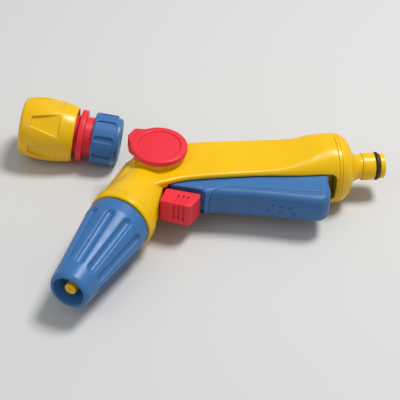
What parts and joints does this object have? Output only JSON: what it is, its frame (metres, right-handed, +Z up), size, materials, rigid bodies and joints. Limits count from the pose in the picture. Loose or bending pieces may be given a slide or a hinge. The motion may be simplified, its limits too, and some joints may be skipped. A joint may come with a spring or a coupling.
{
  "type": "hose spray nozzle",
  "caption": "Trigger spray gun for a garden hose, with flow knob, lock slider, twist nozzle and a loose quick-release hose-end connector.",
  "frame": {"origin": "centre of the bounding box on the surface that the gun and its connector lie on", "axes": "+X out of the water inlet along the handle, +Z up through the flow knob, the trigger on the -Y side"},
  "size_m": [0.2262, 0.1703, 0.0425],
  "materials": {
    "yellow_gloss": "glossy moulded yellow plastic",
    "nozzle_blue": "satin slate-blue moulded plastic",
    "grip_blue": "soft matt slate-blue overmould",
    "control_red": "glossy red moulded plastic",
    "seal_rubber": "black nitrile rubber",
    "spring_steel": "bright stainless steel",
    "inner_white": "natural white acetal",
    "inner_grey": "grey glass-filled nylon"
  },
  "bodies": {
    "gun": {"body_shell_upper": "yellow_gloss", "body_shell_lower": "yellow_gloss", "back_strip": "yellow_gloss", "body_screws": "spring_steel", "barrel_collar": "yellow_gloss", "end_ring": "yellow_gloss", "inlet_connector": "yellow_gloss", "inlet_o_ring": "seal_rubber", "water_tube": "inner_white", "valve_body": "inner_grey", "valve_cap": "inner_white", "stem_seal": "seal_rubber", "valve_spring": "spring_steel", "head_core": "inner_grey", "rotor_cap": "inner_white", "jet_pin": "yellow_gloss", "trigger_pin": "spring_steel"},
    "trigger": {"trigger_lever": "nozzle_blue", "trigger_grip": "grip_blue"},
    "valve": {"valve_stem": "inner_white", "valve_washer": "seal_rubber"},
    "lock": {"lock_slider": "control_red"},
    "flow_control": {"flow_knob": "control_red", "flow_rotor": "inner_white", "rotor_seal_lower": "seal_rubber", "rotor_seal_upper": "seal_rubber", "knob_screw": "spring_steel", "knob_cap": "control_red"},
    "nozzle_travel": {"nozzle_seal": "seal_rubber"},
    "nozzle": {"nozzle_cone": "nozzle_blue", "nozzle_sleeve": "inner_grey"},
    "connector": {"connector_body": "control_red", "latch_ring": "inner_white", "collar_spring": "spring_steel", "stop_spring": "spring_steel"},
    "collar": {"release_collar": "yellow_gloss"},
    "water_stop": {"stop_plunger": "inner_white", "stop_seal": "seal_rubber"},
    "hose_grip": {"hose_collet": "inner_white"},
    "nut": {"hose_nut": "nozzle_blue"}
  },
  "joints": [
    {"name": "trigger_squeeze", "type": "hinge", "parent": "gun", "child": "trigger", "pos_m": [-0.0174, -0.0004, 0.0207], "axis": [0, 0, 1], "range_deg": [0, 5.5], "stiffness_Nm_per_rad": 0.8, "springref_deg": -8.59},
    {"name": "valve_open", "type": "slide", "parent": "gun", "child": "valve", "axis": [0, 1, 0], "range_m": [0, 0.004], "deforming": ["valve_spring"]},
    {"name": "lock_slide", "type": "slide", "parent": "gun", "child": "lock", "axis": [0.9511, -0.309, 0], "range_m": [0, 0.002]},
    {"name": "flow_turn", "type": "hinge", "parent": "gun", "child": "flow_control", "pos_m": [-0.02824, 0.01903, 0.0207], "axis": [0, 0, 1], "range_deg": [-50, 20]},
    {"name": "nozzle_advance", "type": "slide", "parent": "gun", "child": "nozzle_travel", "axis": [-0.515, -0.8572, 0], "range_m": [0, 0.006]},
    {"name": "nozzle_twist", "type": "hinge", "parent": "nozzle_travel", "child": "nozzle", "pos_m": [-0.0294, 0.0171, 0.0207], "axis": [-0.515, -0.8572, 0], "range_deg": [0, 540]},
    {"name": "connector_lift", "type": "slide", "parent": "gun", "child": "connector", "axis": [0, 0, 1], "range_m": [0, 0.06]},
    {"name": "collar_slide", "type": "slide", "parent": "connector", "child": "collar", "axis": [0.9716, -0.219, -0.0901], "range_m": [0, 0.002], "stiffness_N_per_m": 400, "springref_m": -0.004, "deforming": ["collar_spring"]},
    {"name": "plunger_slide", "type": "slide", "parent": "connector", "child": "water_stop", "axis": [0.9716, -0.219, -0.0901], "range_m": [0, 0.003], "stiffness_N_per_m": 150, "springref_m": -0.004, "deforming": ["stop_spring"]},
    {"name": "grip_travel", "type": "slide", "parent": "connector", "child": "hose_grip", "axis": [0.9716, -0.219, -0.0901], "range_m": [0, 0.003]},
    {"name": "nut_turn", "type": "hinge", "parent": "hose_grip", "child": "nut", "pos_m": [-0.10948, 0.06797, 0.02133], "axis": [0.9716, -0.219, -0.0901], "range_deg": [0, 540]}
  ],
  "couplings": [
    {"joint": "valve_open", "follows": "trigger_squeeze", "m_per_rad": 0.04},
    {"joint": "nozzle_advance", "follows": "nozzle_twist", "m_per_rad": 0.00063662},
    {"joint": "grip_travel", "follows": "nut_turn", "m_per_rad": 0.00031831}
  ]
}
